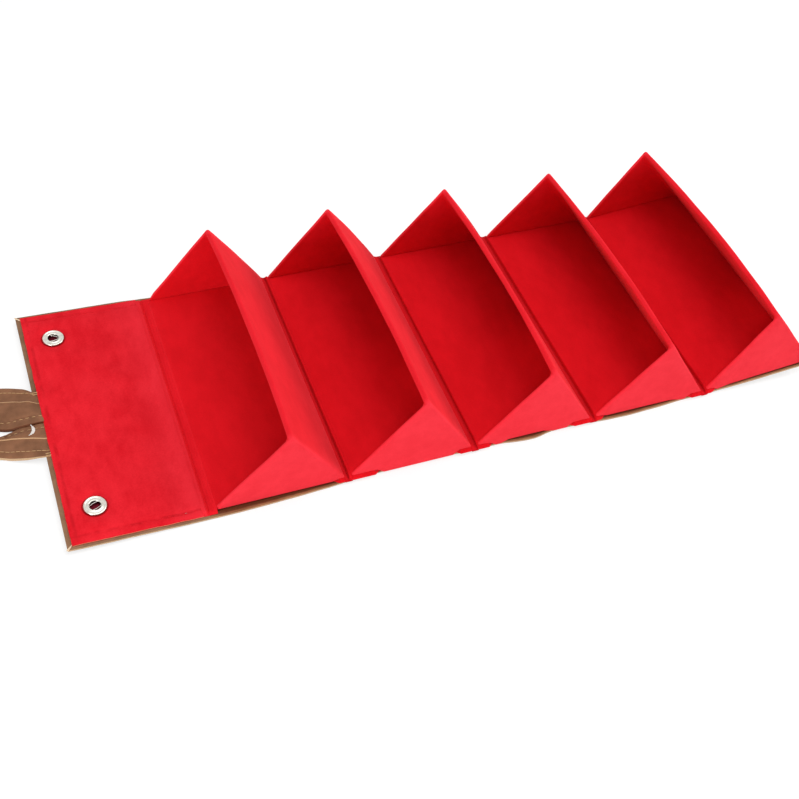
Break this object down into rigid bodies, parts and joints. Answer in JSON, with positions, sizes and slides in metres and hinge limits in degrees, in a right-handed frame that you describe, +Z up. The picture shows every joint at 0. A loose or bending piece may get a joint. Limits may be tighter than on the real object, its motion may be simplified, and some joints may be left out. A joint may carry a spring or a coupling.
{
  "type": "roll-up eyewear organiser",
  "caption": "Roll-up leather eyewear organiser lying open, with slanted suede-lined compartments, a snap closing flap and a hanging loop.",
  "frame": {"origin": "centre of the middle panel's underside, on the surface that the open case lies on", "axes": "+X from the flap towards the last compartment, +Y towards the back, +Z up"},
  "size_m": [0.5767, 0.1786, 0.0562],
  "materials": {
    "outer_leather": "satin",
    "strap_leather": "satin",
    "suede": "matte, short nap",
    "board": "matte",
    "padding": "matte",
    "nickel": "satin"
  },
  "bodies": {
    "panel_1": {"outer_leather_1": "outer_leather", "base_board_1": "board", "floor_lining_1": "suede", "wall_cover_1": "suede", "wall_card_1": "board", "front_gusset_1": "suede", "back_gusset_1": "suede", "gusset_cards_1": "board"},
    "panel_2": {"outer_leather_2": "outer_leather", "base_board_2": "board", "floor_lining_2": "suede", "wall_cover_2": "suede", "wall_card_2": "board", "front_gusset_2": "suede", "back_gusset_2": "suede", "gusset_cards_2": "board"},
    "panel_3": {"outer_leather_3": "outer_leather", "base_board_3": "board", "floor_lining_3": "suede", "wall_cover_3": "suede", "wall_card_3": "board", "front_gusset_3": "suede", "back_gusset_3": "suede", "gusset_cards_3": "board"},
    "panel_4": {"outer_leather_4": "outer_leather", "base_board_4": "board", "floor_lining_4": "suede", "wall_cover_4": "suede", "wall_card_4": "board", "front_gusset_4": "suede", "back_gusset_4": "suede", "gusset_cards_4": "board"},
    "panel_5": {"outer_leather_5": "outer_leather", "base_board_5": "board", "floor_lining_5": "suede", "wall_cover_5": "suede", "wall_card_5": "board", "front_gusset_5": "suede", "back_gusset_5": "suede", "gusset_cards_5": "board", "stud_posts": "nickel", "stud_backs": "nickel"},
    "spine": {"spine_leather": "outer_leather", "spine_lining": "suede"},
    "flap": {"flap_leather": "outer_leather", "flap_padding": "padding", "flap_lining": "suede", "snap_caps": "nickel", "snap_rings": "nickel", "snap_springs": "nickel", "strap_tabs": "strap_leather"},
    "strap": {"strap_loop": "strap_leather"}
  },
  "joints": [
    {"name": "fold_2", "type": "hinge", "parent": "panel_3", "child": "panel_2", "pos_m": [-0.039, 0, 0.0016], "axis": [0, 1, 0], "range_deg": [0, 72]},
    {"name": "fold_1", "type": "hinge", "parent": "panel_2", "child": "panel_1", "pos_m": [-0.117, 0, 0.0016], "axis": [0, 1, 0], "range_deg": [0, 72]},
    {"name": "fold_4", "type": "hinge", "parent": "panel_3", "child": "panel_4", "pos_m": [0.039, 0, 0.0016], "axis": [0, -1, 0], "range_deg": [0, 72]},
    {"name": "fold_5", "type": "hinge", "parent": "panel_4", "child": "panel_5", "pos_m": [0.117, 0, 0.0016], "axis": [0, -1, 0], "range_deg": [-5.65, 66.35], "stiffness_Nm_per_rad": 0.05, "springref_deg": 20.63},
    {"name": "spine_fold", "type": "hinge", "parent": "panel_1", "child": "spine", "pos_m": [-0.195, 0, 0.0016], "axis": [0, 1, 0], "range_deg": [0, 10.36]},
    {"name": "flap_fold", "type": "hinge", "parent": "spine", "child": "flap", "pos_m": [-0.2, 0, 0.0016], "axis": [0, 1, 0], "range_deg": [-2.01, 59.63]},
    {"name": "strap_fold", "type": "hinge", "parent": "flap", "child": "strap", "pos_m": [-0.27499, 0, 0.00463], "axis": [0, -1, 0], "range_deg": [-80, 70]}
  ]
}
